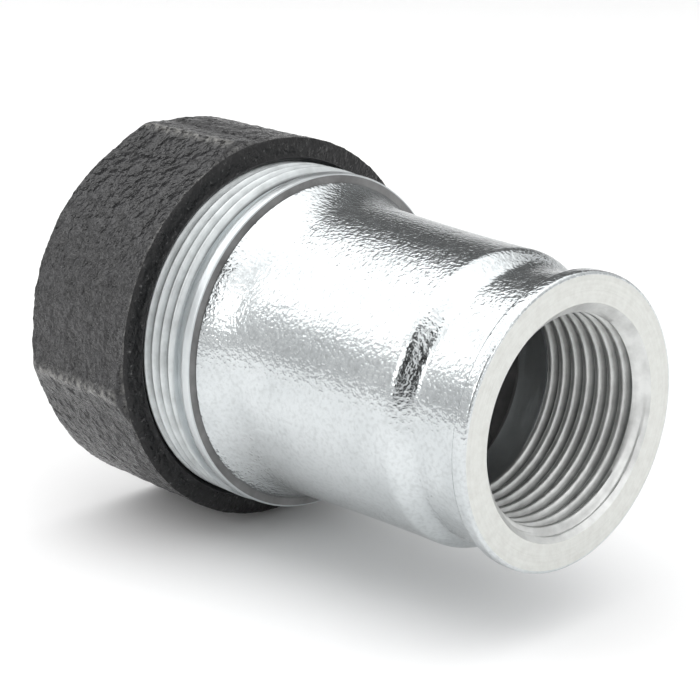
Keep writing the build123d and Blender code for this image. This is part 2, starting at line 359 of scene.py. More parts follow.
def cast_zinc(finishes):
    """Hot-dipped zinc on a cast skin: pebbled, bright, with duller patches."""
    material, nodes, links, shader = new_material("cast_zinc")
    patches = object_noise(nodes, links, 90, 3, 0.6)
    colour = ramp(nodes, links, patches.outputs["Fac"],
                  [(0.36, finishes.zinc_shade), (0.58, finishes.zinc)])
    grain = object_noise(nodes, links, 1700, 1.5, 0.5)
    pits = ramp(nodes, links, grain.outputs["Fac"], [(0.3, grey(0.86)), (0.55, grey(1.0))])
    pitted = multiplied(nodes, links, colour.outputs["Color"], pits.outputs["Color"])
    links.new(pitted, shader.inputs["Base Color"])
    shader.inputs["Metallic"].default_value = 1.0
    specks = object_noise(nodes, links, 700, 2, 0.6)
    rough = ramp(nodes, links, specks.outputs["Fac"], [(0.3, grey(0.12)), (0.7, grey(0.24))])
    links.new(rough.outputs["Color"], shader.inputs["Roughness"])
    broad = bump(nodes, links, object_noise(nodes, links, 420, 2, 0.5).outputs["Fac"], 0.05 * MM)
    pebbles = bump(nodes, links, grain.outputs["Fac"], 0.1 * MM, broad)
    links.new(pebbles.outputs["Normal"], shader.inputs["Normal"])
    return material


def axis_place(nodes, links):
    """Place along the fitting's axis."""
    coordinates = nodes.new("ShaderNodeTexCoord")
    split = nodes.new("ShaderNodeSeparateXYZ")
    links.new(coordinates.outputs["Object"], split.inputs["Vector"])
    return split.outputs["X"]


def axis_distance(nodes, links):
    """Distance from the fitting's axis."""
    coordinates = nodes.new("ShaderNodeTexCoord")
    across = nodes.new("ShaderNodeVectorMath")
    across.operation = "MULTIPLY"
    across.inputs[1].default_value = (0, 1, 1)
    length = nodes.new("ShaderNodeVectorMath")
    length.operation = "LENGTH"
    links.new(coordinates.outputs["Object"], across.inputs[0])
    links.new(across.outputs["Vector"], length.inputs[0])
    return length.outputs["Value"]


def thread_zinc(name, root_r, crest_r, painted_groove_shade, crest_shade, unshaded_depth):
    """Zinc on a thread: pale on the crests, with painted shade darkening the grooves, which are also
    duller. In front of the depth given last, where a mouth is chamfered, the painted groove shade is
    left off and it is pale all over."""
    material, nodes, links, shader = new_material(name)
    height = rise(nodes, links, axis_distance(nodes, links), root_r, crest_r)
    mouth = rise(nodes, links, axis_place(nodes, links), -unshaded_depth, 0.3 * MM - unshaded_depth)
    higher = maths(nodes, links, "MAXIMUM", height, mouth)
    # painted shade: the colour darkens from the crests towards the thread's root
    groove = ramp(nodes, links, higher, [(0.08, painted_groove_shade), (0.42, crest_shade)])
    patches = object_noise(nodes, links, 300, 3, 0.6)
    tone = ramp(nodes, links, patches.outputs["Fac"], [(0.3, grey(0.78)), (0.6, grey(1.0))])
    toned = multiplied(nodes, links, groove.outputs["Color"], tone.outputs["Color"])
    links.new(toned, shader.inputs["Base Color"])
    shader.inputs["Metallic"].default_value = 1.0
    rough = ramp(nodes, links, higher, [(0.2, grey(0.66)), (0.9, grey(0.5))])
    links.new(rough.outputs["Color"], shader.inputs["Roughness"])
    streaks = object_noise(nodes, links, 900, 2, 0.5, (4, 0.4, 0.4))
    marks = bump(nodes, links, streaks.outputs["Fac"], 0.03 * MM)
    drips = bump(nodes, links, object_noise(nodes, links, 600, 2, 0.5).outputs["Fac"], 0.08 * MM, marks)
    links.new(drips.outputs["Normal"], shader.inputs["Normal"])
    return material


def core_zinc_painted_shade():
    """The unmachined chamber inside the body: rough and dull, its colour darkened as painted shade for
    the recess. It also paints the line of shade at the end of the flare.
    """
    material, nodes, links, shader = new_material("core_zinc_painted_shade")
    patches = object_noise(nodes, links, 200, 3, 0.6)
    # painted shade: dark greys stand for the shade inside the chamber and in the crease
    colour = ramp(nodes, links, patches.outputs["Fac"], [(0.35, grey(0.14)), (0.65, grey(0.24))])
    links.new(colour.outputs["Color"], shader.inputs["Base Color"])
    shader.inputs["Metallic"].default_value = 0.5
    shader.inputs["Roughness"].default_value = 0.6
    grain = bump(nodes, links, object_noise(nodes, links, 900, 2, 0.5).outputs["Fac"], 0.15 * MM)
    links.new(grain.outputs["Normal"], shader.inputs["Normal"])
    return material


def cut_zinc(finishes):
    """Zinc on machined surfaces: collar, seat and guide, with turning marks round the axis."""
    material, nodes, links, shader = new_material("cut_zinc")
    patches = object_noise(nodes, links, 160, 3, 0.6)
    colour = ramp(nodes, links, patches.outputs["Fac"],
                  [(0.35, finishes.zinc_shade), (0.6, finishes.zinc)])
    links.new(colour.outputs["Color"], shader.inputs["Base Color"])
    shader.inputs["Metallic"].default_value = 1.0
    streaks = object_noise(nodes, links, 900, 2, 0.5, (4, 0.4, 0.4))
    rough = ramp(nodes, links, streaks.outputs["Fac"], [(0.3, grey(0.3)), (0.7, grey(0.46))])
    links.new(rough.outputs["Color"], shader.inputs["Roughness"])
    marks = bump(nodes, links, streaks.outputs["Fac"], 0.03 * MM)
    drips = bump(nodes, links, object_noise(nodes, links, 500, 2, 0.5).outputs["Fac"], 0.05 * MM, marks)
    links.new(drips.outputs["Normal"], shader.inputs["Normal"])
    return material


def turned_zinc(finishes):
    """The flange's face: rings left by the lathe, under the zinc."""
    material, nodes, links, shader = new_material("turned_zinc")
    rings = nodes.new("ShaderNodeTexNoise")
    rings.noise_dimensions = "1D"
    rings.inputs["Scale"].default_value = 2600
    rings.inputs["Detail"].default_value = 3
    links.new(axis_distance(nodes, links), rings.inputs["W"])
    patches = object_noise(nodes, links, 700, 3, 0.65)
    colour = ramp(nodes, links, patches.outputs["Fac"],
                  [(0.3, (0.62, 0.625, 0.6)), (0.62, (0.68, 0.69, 0.665))])
    links.new(colour.outputs["Color"], shader.inputs["Base Color"])
    shader.inputs["Metallic"].default_value = 1.0
    rough = ramp(nodes, links, rings.outputs["Fac"], [(0.3, grey(0.36)), (0.7, grey(0.52))])
    links.new(rough.outputs["Color"], shader.inputs["Roughness"])
    marks = bump(nodes, links, rings.outputs["Fac"], 0.05 * MM)
    spots = bump(nodes, links, object_noise(nodes, links, 800, 2, 0.5).outputs["Fac"], 0.03 * MM, marks)
    links.new(spots.outputs["Normal"], shader.inputs["Normal"])
    return material


def black_coat(finishes, sizes):
    """A black coat on wrinkled cast iron, with painted shade in the wrinkles' hollows, rubbed grey
    along the ribs and the edges, a wear that also paints the highlight of the ridges and the front
    edge.
    """
    material, nodes, links, shader = new_material("black_coat")
    folds = object_noise(nodes, links, 500, 2.5, 0.55)
    # painted shade: the coat is darker where the wrinkles sink and lighter where they rise, from the
    # same noise as the wrinkle bump
    coat = ramp(nodes, links, folds.outputs["Fac"],
                [(0.4, scaled(finishes.black, 0.7)), (0.62, scaled(finishes.black, 1.7))])
    # wear on the ridges and the front edge, which also stands as a painted highlight along them
    ridges = rise(nodes, links, axis_distance(nodes, links),
                  sizes.outer_r + 0.62 * sizes.rib_height, sizes.outer_r + 0.95 * sizes.rib_height)
    edge = rise(nodes, links, axis_place(nodes, links),
                -sizes.front - 1.1 * MM, -sizes.front - 0.5 * MM, 0.6)
    broken = object_noise(nodes, links, 1100, 2, 0.6)
    wear_and_highlight_breakup = ramp(nodes, links, broken.outputs["Fac"], [(0.42, grey(0.05)), (0.6, grey(1.0))])
    either = maths(nodes, links, "MAXIMUM", ridges, edge)
    wear_and_highlight = maths(nodes, links, "MULTIPLY", either, wear_and_highlight_breakup.outputs["Color"])
    mix = nodes.new("ShaderNodeMix")
    mix.data_type = "RGBA"
    mix.inputs["B"].default_value = (0.2, 0.197, 0.187, 1)
    links.new(wear_and_highlight, mix.inputs["Factor"])
    links.new(coat.outputs["Color"], mix.inputs["A"])
    links.new(mix.outputs["Result"], shader.inputs["Base Color"])
    shader.inputs["Specular IOR Level"].default_value = 0.56
    specks = object_noise(nodes, links, 500, 2, 0.6)
    rough = ramp(nodes, links, specks.outputs["Fac"], [(0.3, grey(0.17)), (0.7, grey(0.3))])
    links.new(rough.outputs["Color"], shader.inputs["Roughness"])
    cells = nodes.new("ShaderNodeTexVoronoi")
    cells.feature = "SMOOTH_F1"
    cells.inputs["Scale"].default_value = 760
    cells.inputs["Smoothness"].default_value = 0.6
    coordinates = nodes.new("ShaderNodeTexCoord")
    links.new(coordinates.outputs["Object"], cells.inputs["Vector"])
    knobs = bump(nodes, links, cells.outputs["Distance"], -0.35 * MM)
    wrinkles = bump(nodes, links, folds.outputs["Fac"], 1.5 * MM, knobs)
    grain = object_noise(nodes, links, 1800, 2, 0.5)
    fine = bump(nodes, links, grain.outputs["Fac"], 0.2 * MM, wrinkles)
    links.new(fine.outputs["Normal"], shader.inputs["Normal"])
    return material


def black_machined(finishes):
    """The nut's turned surfaces, coated black: smoother than its cast skin."""
    material, nodes, links, shader = new_material("black_machined")
    patches = object_noise(nodes, links, 200, 3, 0.6)
    coat = ramp(nodes, links, patches.outputs["Fac"],
                [(0.35, finishes.black), (0.7, scaled(finishes.black, 1.8))])
    links.new(coat.outputs["Color"], shader.inputs["Base Color"])
    streaks = object_noise(nodes, links, 900, 2, 0.5, (4, 0.5, 0.5))
    rough = ramp(nodes, links, streaks.outputs["Fac"], [(0.3, grey(0.32)), (0.7, grey(0.48))])
    links.new(rough.outputs["Color"], shader.inputs["Roughness"])
    marks = bump(nodes, links, streaks.outputs["Fac"], 0.05 * MM)
    links.new(marks.outputs["Normal"], shader.inputs["Normal"])
    return material


def black_front_painted_shade(finishes):
    """The nut's front ring: a coat darkened as painted shade, with less specular, faintly uneven,
    chipped to pale specks.
    """
    material, nodes, links, shader = new_material("black_front_painted_shade")
    shader.inputs["Specular IOR Level"].default_value = 0.35
    chips = object_noise(nodes, links, 1300, 3, 0.65)
    # painted shade: the coat here is darker than on the ribbed outside
    coat = ramp(nodes, links, chips.outputs["Fac"],
                [(0.62, scaled(finishes.black, 0.6)), (0.74, grey(0.12))])
    links.new(coat.outputs["Color"], shader.inputs["Base Color"])
    specks = object_noise(nodes, links, 500, 2, 0.6)
    rough = ramp(nodes, links, specks.outputs["Fac"], [(0.3, grey(0.22)), (0.7, grey(0.42))])
    links.new(rough.outputs["Color"], shader.inputs["Roughness"])
    wrinkles = bump(nodes, links, object_noise(nodes, links, 700, 2, 0.5).outputs["Fac"], 0.35 * MM)
    grain = object_noise(nodes, links, 1800, 2, 0.5)
    fine = bump(nodes, links, grain.outputs["Fac"], 0.15 * MM, wrinkles)
    links.new(fine.outputs["Normal"], shader.inputs["Normal"])
    return material


def plated_steel():
    """Bright zinc-plated steel, for the pressure ring and the clamp ring."""
    material, nodes, links, shader = new_material("plated_steel")
    patches = object_noise(nodes, links, 250, 3, 0.6)
    colour = ramp(nodes, links, patches.outputs["Fac"],
                  [(0.35, (0.6, 0.6, 0.57)), (0.65, (0.74, 0.74, 0.7))])
    links.new(colour.outputs["Color"], shader.inputs["Base Color"])
    shader.inputs["Metallic"].default_value = 1.0
    streaks = object_noise(nodes, links, 1200, 2, 0.5, (5, 0.5, 0.5))
    rough = ramp(nodes, links, streaks.outputs["Fac"], [(0.3, grey(0.2)), (0.7, grey(0.36))])
    links.new(rough.outputs["Color"], shader.inputs["Roughness"])
    marks = bump(nodes, links, streaks.outputs["Fac"], 0.02 * MM)
    links.new(marks.outputs["Normal"], shader.inputs["Normal"])
    return material


def seal_rubber(finishes):
    """Moulded black rubber."""
    material, nodes, links, shader = new_material("seal_rubber")
    bloom = object_noise(nodes, links, 180, 3, 0.6)
    colour = ramp(nodes, links, bloom.outputs["Fac"],
                  [(0.4, finishes.rubber), (0.75, scaled(finishes.rubber, 1.7))])
    links.new(colour.outputs["Color"], shader.inputs["Base Color"])
    shader.inputs["Roughness"].default_value = 0.62
    grain = bump(nodes, links, object_noise(nodes, links, 2500, 2, 0.5).outputs["Fac"], 0.02 * MM)
    links.new(grain.outputs["Normal"], shader.inputs["Normal"])
    return material


# ---------------------------------------------------------------- turned pieces
class Outline:
    """The closed outline of a turned piece, in depth and radius. Each stretch has a finish, and a
    share of the cast skin's unevenness. A stretch of thread is a run of helical points."""

    def __init__(self):
        self.points = []
        self.finish = []
        self.skin = []
        self.thread = []

    def add(self, depth, radius, finish, skin=0.0, thread=None):
        self.points.append((depth, radius))
        self.finish.append(finish)
        self.skin.append(skin)
        self.thread.append(thread)

    def run(self, end, step, finish, skin=0.0, include_end=True):
        """A straight run from the last point to the end, in steps no longer than one step."""
        start = self.points[-1]
        count = max(1, ceil(hypot(end[0] - start[0], end[1] - start[1]) / step))
        self.finish[-1] = finish
        for k in range(1, count + include_end):
            share = k / count
            depth = start[0] + (end[0] - start[0]) * share
            self.add(depth, start[1] + (end[1] - start[1]) * share, finish, skin)

    def arc(self, centre, radius, first, last, count, finish, skin=0.0):
        """An arc about a centre. Angles are in degrees, from the direction of growing depth."""
        for k in range(count + 1):
            angle = radians(first + (last - first) * k / count)
            self.add(centre[0] + radius * cos(angle), centre[1] + radius * sin(angle), finish, skin)

    def blend(self, end, start_slope, end_slope, step, finish, skin=0.0):
        """A smooth curve from the last point to the end, with the slopes given, radius over depth."""
        start = self.points[-1]
        span = end[0] - start[0]
        count = max(1, ceil(abs(span) / step))
        for k in range(1, count + 1):
            t = k / count
            radius = ((2 * t**3 - 3 * t**2 + 1) * start[1] + (t**3 - 2 * t**2 + t) * span * start_slope
                      + (3 * t**2 - 2 * t**3) * end[1] + (t**3 - t**2) * span * end_slope)
            self.add(start[0] + span * t, radius, finish, skin)

    def groove(self, thread, finish):
        """The helical points of a thread, from its first depth to its last. Some lie past its ends,
        for the helix to draw in as it turns."""
        first, last = thread.first, thread.last
        outwards = 1 if last > first else -1
        places = []
        spare = 1.5 * thread.pitch
        lowest, highest = min(first, last) - spare, max(first, last) + spare
        turn = ceil((lowest - thread.centre) / thread.pitch) - 1
        while thread.centre + turn * thread.pitch < highest + thread.pitch:
            for offset, _ in thread.profile:
                place = thread.centre + turn * thread.pitch + offset
                if lowest <= place <= highest:
                    places.append(place)
            turn += 1
        for place in sorted(places, reverse=outwards < 0):
            self.add(place, thread.radius_at(place, 0.0), finish, 0.0, thread)


class Thread:
    """A right-handed thread between two depths. The profile is a groove about its centre, as
    (depth, radius) points over one pitch, and the limit trims it, as a chamfer does."""

    def __init__(self, first, last, centre, pitch, profile, limit=None):
        self.first, self.last = first, last
        self.centre, self.pitch = centre, pitch
        self.profile = profile
        self.limit = limit

    def radius_at(self, depth, share):
        """Radius at a depth, a share of a turn on from the underside."""
        half = self.pitch / 2
        place = (depth - self.centre + share * self.pitch + half) % self.pitch - half
        points = self.profile
        before = (points[-1][0] - self.pitch, points[-1][1])
        after = (points[0][0] + self.pitch, points[0][1])
        wrapped = [before, *points, after]
        radius = wrapped[0][1]
        for (a, ra), (b, rb) in zip(wrapped, wrapped[1:]):
            if a <= place <= b:
                radius = ra + (rb - ra) * (place - a) / (b - a)
                break
        return self.limit(depth, radius) if self.limit else radius

    def place(self, depth, share):
        """Depth and radius of a helical point, held between the thread's two ends."""
        low, high = min(self.first, self.last), max(self.first, self.last)
        held = min(max(depth - share * self.pitch, low), high)
        return held, self.radius_at(held, share)


def groove_profile(root_flat, open_width, root_r, crest_r, ease):
    """A groove with a flat root, straight flanks and a flat crest, eased a little at the edges."""
    half_root, half_open = root_flat / 2, open_width / 2
    eased = 0.8 * (crest_r - root_r) * ease / (half_open - half_root)
    side = [
        (half_root - ease, root_r),
        (half_root + ease, root_r + eased),
        ((half_root + half_open) / 2, (root_r + crest_r) / 2),
        (half_open - ease, crest_r - eased),
        (half_open + ease, crest_r),
    ]
    return [(-offset, radius) for offset, radius in reversed(side)] + side


def deselect_everything():
    if bpy.context.object is not None and bpy.context.object.mode != "OBJECT":
        bpy.ops.object.mode_set(mode="OBJECT")
    bpy.ops.object.select_all(action="DESELECT")


def turned_piece(name, outline, materials, steps, section=None, calm=None):
    """Spins an outline about X. Thread points then follow their helix. The section gives the outside
    its radius at each angle, and calm says how far the cast skin is smoothed there."""
    deselect_everything()
    count = len(outline.points)
    bpy.ops.mesh.primitive_circle_add(vertices=count, radius=outline.points[0][1], location=(0, 0, 0))
    piece = bpy.context.object
    piece.name = name
    piece.data.name = name
    for vertex, (depth, radius) in zip(piece.data.vertices, outline.points):
        vertex.co = (-depth, 0, -radius)
    spin = piece.modifiers.new("spin", "SCREW")
    spin.axis = "X"
    spin.angle = 2 * pi - SEAM
    spin.steps = spin.render_steps = steps
    spin.use_smooth_shade = False
    bpy.ops.object.modifier_apply(modifier=spin.name)
    mesh = piece.data
    if len(mesh.vertices) != count * (steps + 1):
        raise RuntimeError(f"{name}: the spin left {len(mesh.vertices)} points")
    handed = 1 if mesh.vertices[count].co.y > 0 else -1
    for vertex in mesh.vertices:
        column, row = divmod(vertex.index, count)
        share = handed * column / steps
        depth, radius = outline.points[row]
        if outline.thread[row]:
            depth, radius = outline.thread[row].place(depth, share)
        elif section:
            radius = section(radius, share)
        vertex.co = (-depth, radius * sin(2 * pi * share), -radius * cos(2 * pi * share))
    for material in materials.values():
        mesh.materials.append(material)
    order = list(materials)
    for face in mesh.polygons:
        rows = sorted(index % count for index in face.vertices)
        row = rows[-1] if rows[-1] - rows[0] > count / 2 else rows[0]
        face.material_index = order.index(outline.finish[row])
    group = piece.vertex_groups.new(name="cast_skin")
    for row in range(count):
        if outline.skin[row] > 0:
            for column in range(steps + 1):
                share = outline.skin[row] * (1 - calm(column / steps * handed) if calm else 1)
                group.add([column * count + row], share, "REPLACE")
    bpy.ops.object.mode_set(mode="EDIT")
    bpy.ops.mesh.select_all(action="SELECT")
    bpy.ops.mesh.remove_doubles(threshold=2 * TINY)
    bpy.ops.mesh.normals_make_consistent(inside=False)
    bpy.ops.mesh.select_all(action="DESELECT")
    bpy.ops.object.mode_set(mode="OBJECT")
    return piece


def roughen(piece, size, depth, noise="SOFT_NOISE"):
    """Sinks the cast skin by a pattern of a given size, never above the turned surface."""
    texture = bpy.data.textures.new(f"{piece.name}_skin", "CLOUDS")
    texture.noise_scale = size
    texture.noise_depth = 2
    texture.noise_type = noise
    displace = piece.modifiers.new("cast_skin", "DISPLACE")
    displace.texture = texture
    displace.texture_coords = "LOCAL"
    displace.vertex_group = "cast_skin"
    displace.direction = "NORMAL"
    displace.mid_level = 1.0
    displace.strength = depth
    bpy.context.view_layer.objects.active = piece
    piece.select_set(True)
    bpy.ops.object.modifier_apply(modifier=displace.name)


def finish_piece(piece, body, slot, *nodes):
    """Smooths the piece, rides it on its body, and lets it stand for its CAD nodes."""
    deselect_everything()
    piece.select_set(True)
    bpy.context.view_layer.objects.active = piece
    bpy.ops.object.shade_smooth_by_angle(angle=radians(SMOOTH_ANGLE))
    piece.vertex_groups.clear()
    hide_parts(*nodes)
    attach(piece, body)


def rib_distance(sizes, share):
    """How far round the outside the nearest rib's ridge is."""
    angle = 2 * pi * share + pi
    return sizes.outer_r * min(abs((angle - rib + pi) % (2 * pi) - pi) for rib in RIBS)


def rib_section(sizes):
    """Radius of the nut's outside at each angle: a round with two opposite pairs of ribs, each rising
    to a narrow ridge."""
    foot = sizes.rib_width / 2 + sizes.rib_blend

    def section(radius, share):
        if radius < sizes.root_r + OUTSIDE_MARGIN:
            return radius
        away = (hypot(rib_distance(sizes, share), RIDGE_ROUND) - RIDGE_ROUND) / foot
        return min(radius, sizes.outer_r + sizes.rib_height * max(1 - away, 0))

    return section


def rib_calm(sizes):
    """Share by which the cast skin is smoothed at each angle: most along the ridges."""
    return lambda share: RIDGE_SMOOTHING * max(0, 1 - rib_distance(sizes, share) / RIDGE_CALM)


# ---------------------------------------------------------------- operators
class COUPLING_OT_fitting_body(bpy.types.Operator):
    """Build the galvanised body with its pipe thread and its male thread"""

    bl_idname = "coupling.fitting_body"
    bl_label = "Fitting body"

    def execute(self, context):
        s = context.scene.body_sizes
        finishes = context.scene.finishes
        o = Outline()
        # flange, from the mouth outwards and back
        mouth_r = s.female_minor_r + MOUTH_CHAMFER
        rim_r = s.flange_r - RIM_EDGE
        o.add(0, mouth_r, "turned_zinc")
        o.run((0, rim_r), FACE_GRID, "turned_zinc", include_end=False)
        o.arc((RIM_EDGE, rim_r), RIM_EDGE, 180, 90, 5, "cast_zinc", 0.2)
        o.arc((s.flange_thickness - RIM_EDGE, rim_r), RIM_EDGE, 90, 0, 5, "cast_zinc", 0.3)
        # foot of the flange, neck, shoulder, waist and flare
        foot_r = s.neck_r + RIM_FOOT
        o.run((s.flange_thickness, foot_r), FOOT_GRID, "cast_zinc", 0.5)
        o.arc((s.flange_thickness + RIM_FOOT, foot_r), RIM_FOOT, 180, 270, 5, "cast_zinc", 0.7)
        o.run((s.shoulder_front, s.neck_r), CAST_GRID, "cast_zinc", 1.0)
        o.blend((s.shoulder_back, s.shoulder_r), 0, 0, CAST_GRID, "cast_zinc", 1.0)
        waist_slope = 2 * (s.waist_r - s.shoulder_r) / (s.waist_back - s.shoulder_back)
        o.blend((s.waist_back, s.waist_r), 0, waist_slope, CAST_GRID, "cast_zinc", 1.0)
        o.blend((s.collar_front, s.flare_r), waist_slope, FLARE_SLOPE, CAST_GRID, "cast_zinc", 1.0)
        # a line of painted shade at the end of the flare, and the collar with its eased front edge
        o.finish[-1] = "core_zinc_painted_shade"
        o.add(s.collar_front + 0.14 * MM, s.flare_r - 0.1 * MM, "core_zinc_painted_shade", 0.5)
        o.add(s.collar_front + 0.16 * MM, s.collar_r - 0.3 * MM, "cut_zinc", 0.3)
        o.add(s.collar_front + 0.24 * MM, s.collar_r - 0.08 * MM, "cut_zinc", 0.2)
        o.add(s.collar_front + 0.5 * MM, s.collar_r, "cut_zinc", 0.2)
        o.run((s.thread_front - 0.15 * MM, s.collar_r), 0.5 * MM, "cut_zinc")
        # relief with eased edges, and male thread
        relief_r = s.male_root_r - RELIEF_UNDERCUT
        relief_back = s.thread_front + RELIEF_LENGTH
        slope_back = s.thread_front + (s.collar_r - relief_r) * MALE_FLANK
        o.add(s.thread_front + 0.08 * MM, s.collar_r - 0.12 * MM, "cut_zinc")
        o.add(slope_back - 0.05 * MM, relief_r + 0.08 * MM, "cut_zinc")
        o.add(slope_back + 0.1 * MM, relief_r, "cut_zinc")
        o.add(relief_back, relief_r, "cut_zinc")
        chamfer = s.male_r - s.male_root_r

        def end_chamfer(depth, radius):
            if depth <= s.length - chamfer:
                return radius
            return min(radius, s.male_root_r + max(s.length - depth, 0))

        open_width = MALE_ROOT_FLAT + 2 * chamfer * MALE_FLANK
        profile = groove_profile(MALE_ROOT_FLAT, open_width, s.male_root_r, s.male_r, MALE_EASE)
        centre = s.thread_front + RELIEF_LENGTH / 2
        thread = Thread(relief_back, s.length, centre, s.male_pitch, profile, end_chamfer)
        o.groove(thread, "male_thread")
        # end face, seat, guide, cored chamber and stop
        seat_throat = s.length - SEAT_LENGTH
        guide_front = seat_throat - GUIDE_LENGTH
        core_r = s.shoulder_r - CORE_WALL
        o.add(s.length, s.male_root_r - SEAT_WALL, "cut_zinc")
        o.run((seat_throat, GUIDE_R + SEAT_STEP), BORE_GRID, "cut_zinc")
        o.add(seat_throat, GUIDE_R, "cut_zinc")
        o.run((guide_front, GUIDE_R), BORE_GRID, "cut_zinc")
        o.add(guide_front, core_r, "core_zinc_painted_shade", 0.5)
        stop_back = FEMALE_TURNS * s.female_pitch + MOUTH_CHAMFER + STOP_LENGTH
        o.run((stop_back + core_r - s.female_minor_r, core_r), CORE_GRID, "core_zinc_painted_shade", 1.0)
        o.run((stop_back, s.female_minor_r), CORE_GRID, "core_zinc_painted_shade", 1.0)
        # land and female thread
        female_back = (FEMALE_TURNS + 1) * s.female_pitch
        o.run((female_back, s.female_minor_r), FACE_GRID, "cut_zinc")
        open_width = FEMALE_ROOT_FLAT + 2 * (s.female_major_r - s.female_minor_r) * FEMALE_FLANK
        profile = groove_profile(
            FEMALE_ROOT_FLAT, open_width, s.female_major_r, s.female_minor_r, FEMALE_EASE)

        def mouth_chamfer(depth, radius):
            return max(radius, mouth_r - depth) if depth < mouth_r - s.female_minor_r else radius

        centre = s.female_pitch / 2
        thread = Thread(female_back, 0, centre, s.female_pitch, profile, mouth_chamfer)
        o.groove(thread, "female_thread")
        materials = {
            "cast_zinc": cast_zinc(finishes),
            "cut_zinc": cut_zinc(finishes),
            "turned_zinc": turned_zinc(finishes),
            "core_zinc_painted_shade": core_zinc_painted_shade(),
            # each thread's first colour is the painted shade of its grooves, the second the colour of
            # its crests
            "male_thread": thread_zinc(
                "male_thread", s.male_root_r, s.male_r,
                (0.14, 0.148, 0.15), (0.66, 0.69, 0.695), 0),
            "female_thread": thread_zinc(
                "female_thread", s.female_major_r, s.female_minor_r,
                (0.27, 0.28, 0.275), (0.72, 0.73, 0.72), mouth_r - s.female_minor_r),
        }
        piece = turned_piece("galvanised_body", o, materials, STEPS_ROUND_BODY)
        roughen(piece, CAST_PATTERN, s.grain)
        finish_piece(piece, "fitting", "galvanised_casting", "fitting_body")
        return {"FINISHED"}


class COUPLING_OT_compression_nut(bpy.types.Operator):
    """Build the black nut with its ribs, its cast skin and its thread"""

    bl_idname = "coupling.compression_nut"
    bl_label = "Compression nut"

    def execute(self, context):
        s = context.scene.nut_sizes
        b = context.scene.body_sizes
        finishes = context.scene.finishes
        o = Outline()
        # front face, outside and rear face
        mouth_r = s.root_r + NUT_LEAD
        rib_r = s.outer_r + s.rib_height
        front_centre = (s.front + s.front_round, rib_r - s.front_round)
        o.add(s.front, mouth_r + 0.1 * MM, "black_machined")
        # the front ring takes the coat darkened as painted shade
        o.run((s.front, front_centre[1]), NUT_FACE_GRID, "black_front_painted_shade", 0.6, include_end=False)
        o.arc(front_centre, s.front_round, 180, 156, 4, "black_front_painted_shade", 0.7)
        o.arc(front_centre, s.front_round, 150, 90, 9, "black_coat", 0.8)
        rear_edge = s.rear - s.rear_round
        o.run((rear_edge, rib_r), NUT_GRID, "black_coat", 1.0, include_end=False)
        o.arc((rear_edge, rib_r - s.rear_round), s.rear_round, 90, 0, 14, "black_coat", 1.0)
        o.run((s.rear, s.bore_r + NUT_CHAMFER), NUT_REAR_GRID, "black_coat", 0.9)
        # bore, and the cone that closes the clamp ring
        cone_back = s.rear - NUT_FLOOR
        cone_front = cone_back - RING_LENGTH
        cone_rear_r = RING_REAR_R + RING_GAP / cos(RING_SLOPE) - RING_GAP * tan(RING_SLOPE)
        o.add(s.rear - NUT_CHAMFER, s.bore_r, "black_machined")
        o.add(cone_back, s.bore_r, "black_machined")
        o.add(cone_back, cone_rear_r, "black_machined")
        o.run((cone_front, cone_rear_r + RING_LENGTH * tan(RING_SLOPE)), BORE_GRID, "black_machined")
        # pocket, relief and thread
        pocket_r = b.male_root_r - SEAT_WALL + POCKET_CLEARANCE
        shoulder = b.length + POCKET_DEPTH
        relief_r = s.root_r + RELIEF_UNDERCUT
        o.add(cone_front, pocket_r, "black_machined")
        o.add(shoulder, pocket_r, "black_machined")
        o.add(shoulder, relief_r, "black_machined")
        centre = b.thread_front + RELIEF_LENGTH / 2 + b.male_pitch / 2
        turns = int((shoulder - centre) / b.male_pitch - 0.5)
        thread_back = centre + turns * b.male_pitch - b.male_pitch / 2
        o.add(thread_back, relief_r, "black_machined")

        def width(radius):
            male = MALE_ROOT_FLAT + 2 * (radius - b.male_root_r) * MALE_FLANK
            return b.male_pitch - male + THREAD_PLAY

        def lead(depth, radius):
            lead_back = s.front + mouth_r - s.crest_r
            return max(radius, mouth_r - (depth - s.front)) if depth < lead_back else radius

        profile = groove_profile(width(s.root_r), width(s.crest_r), s.root_r, s.crest_r, NUT_EASE)
        o.groove(Thread(thread_back, s.front, centre, b.male_pitch, profile, lead), "black_machined")
        materials = {
            "black_coat": black_coat(finishes, s),
            "black_machined": black_machined(finishes),
            "black_front_painted_shade": black_front_painted_shade(finishes),
        }
        piece = turned_piece("black_nut", o, materials, STEPS_ROUND_NUT, rib_section(s), rib_calm(s))
        roughen(piece, NUT_PATTERN, s.skin)
        roughen(piece, NUT_FINE_PATTERN, NUT_FINE_SHARE * s.skin, "HARD_NOISE")
        finish_piece(piece, "nut", "black_casting", "compression_nut")
        return {"FINISHED"}


